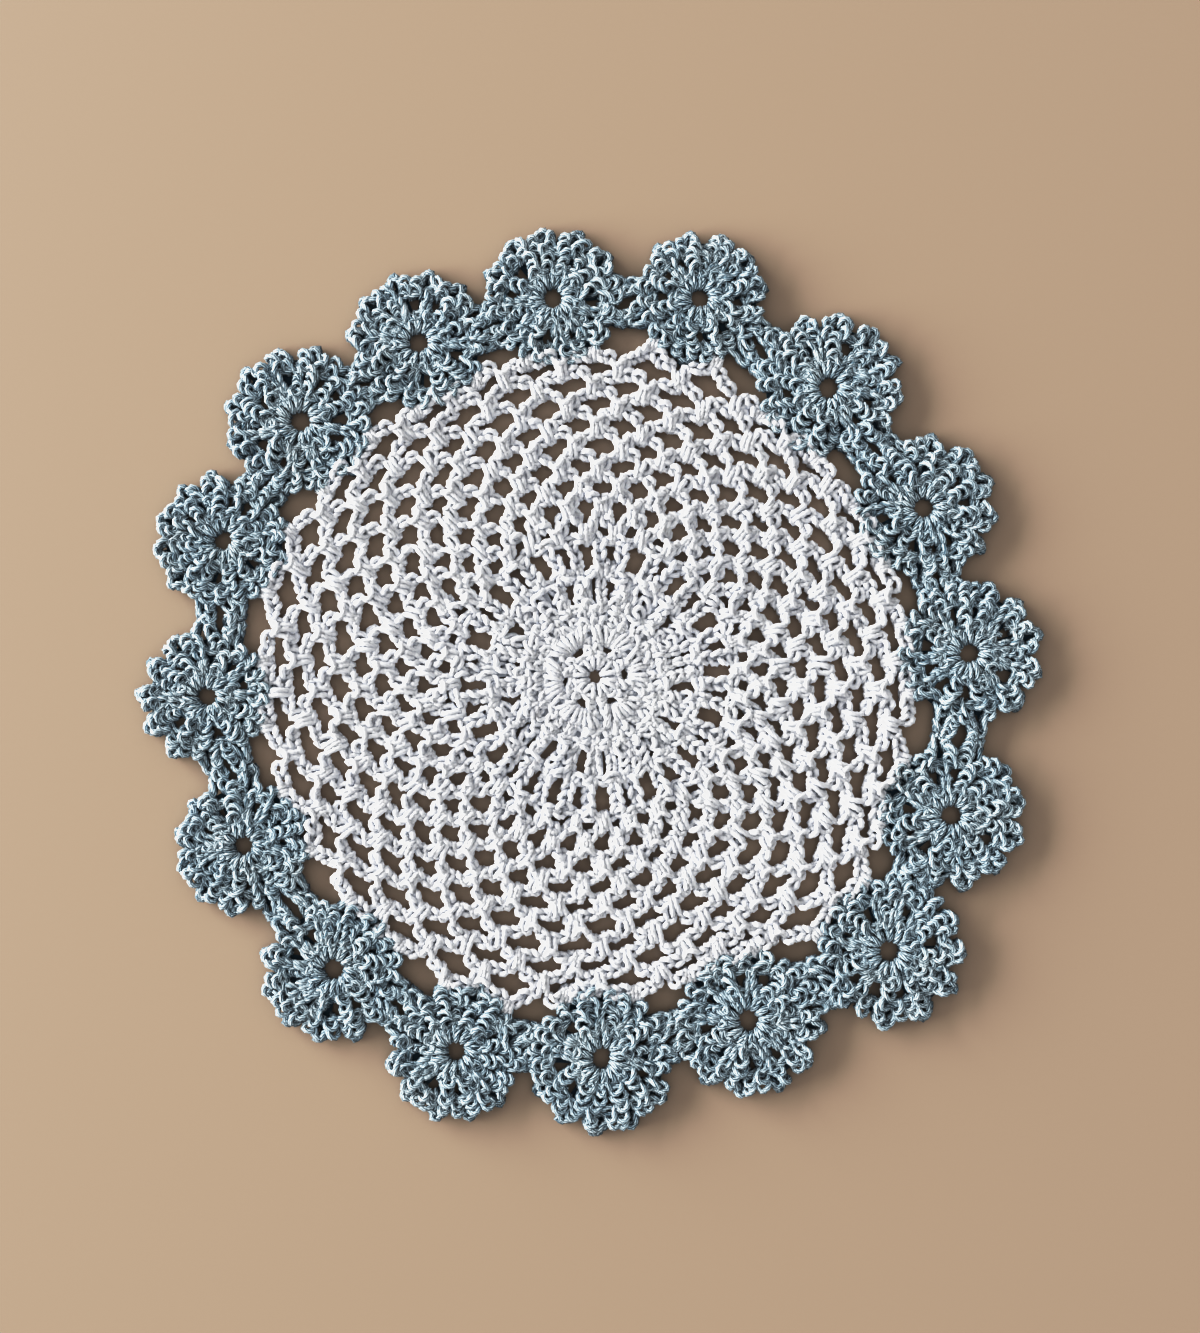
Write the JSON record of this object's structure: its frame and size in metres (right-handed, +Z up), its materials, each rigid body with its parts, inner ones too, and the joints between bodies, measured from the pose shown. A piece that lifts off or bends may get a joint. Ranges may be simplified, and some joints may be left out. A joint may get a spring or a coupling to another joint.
{
  "type": "crochet doily",
  "caption": "Round crochet lace doily that lies flat: a white centre disc with an open net, ringed by small blue-grey picot motifs joined edge to edge.",
  "frame": {"origin": "middle of the whole doily's outline, on the surface that it lies on", "axes": "+Z up from the surface, through the doily's thickness; X and Y lie in its plane, with +Y away from the picture's lower edge"},
  "size_m": [0.2992, 0.3002, 0.004],
  "materials": {
    "white_cotton": "bright cool-white plied cotton yarn, matt, crocheted",
    "marl_cotton": "blue-grey marl cotton yarn of light and dark plies, matt, crocheted"
  },
  "bodies": {
    "root": {"centre_disc": "white_cotton", "motif_01": "marl_cotton", "motif_02": "marl_cotton", "motif_03": "marl_cotton", "motif_04": "marl_cotton", "motif_05": "marl_cotton", "motif_06": "marl_cotton", "motif_07": "marl_cotton", "motif_08": "marl_cotton", "motif_09": "marl_cotton", "motif_10": "marl_cotton", "motif_11": "marl_cotton", "motif_12": "marl_cotton", "motif_13": "marl_cotton", "motif_14": "marl_cotton", "motif_15": "marl_cotton", "motif_16": "marl_cotton"}
  },
  "joints": []
}
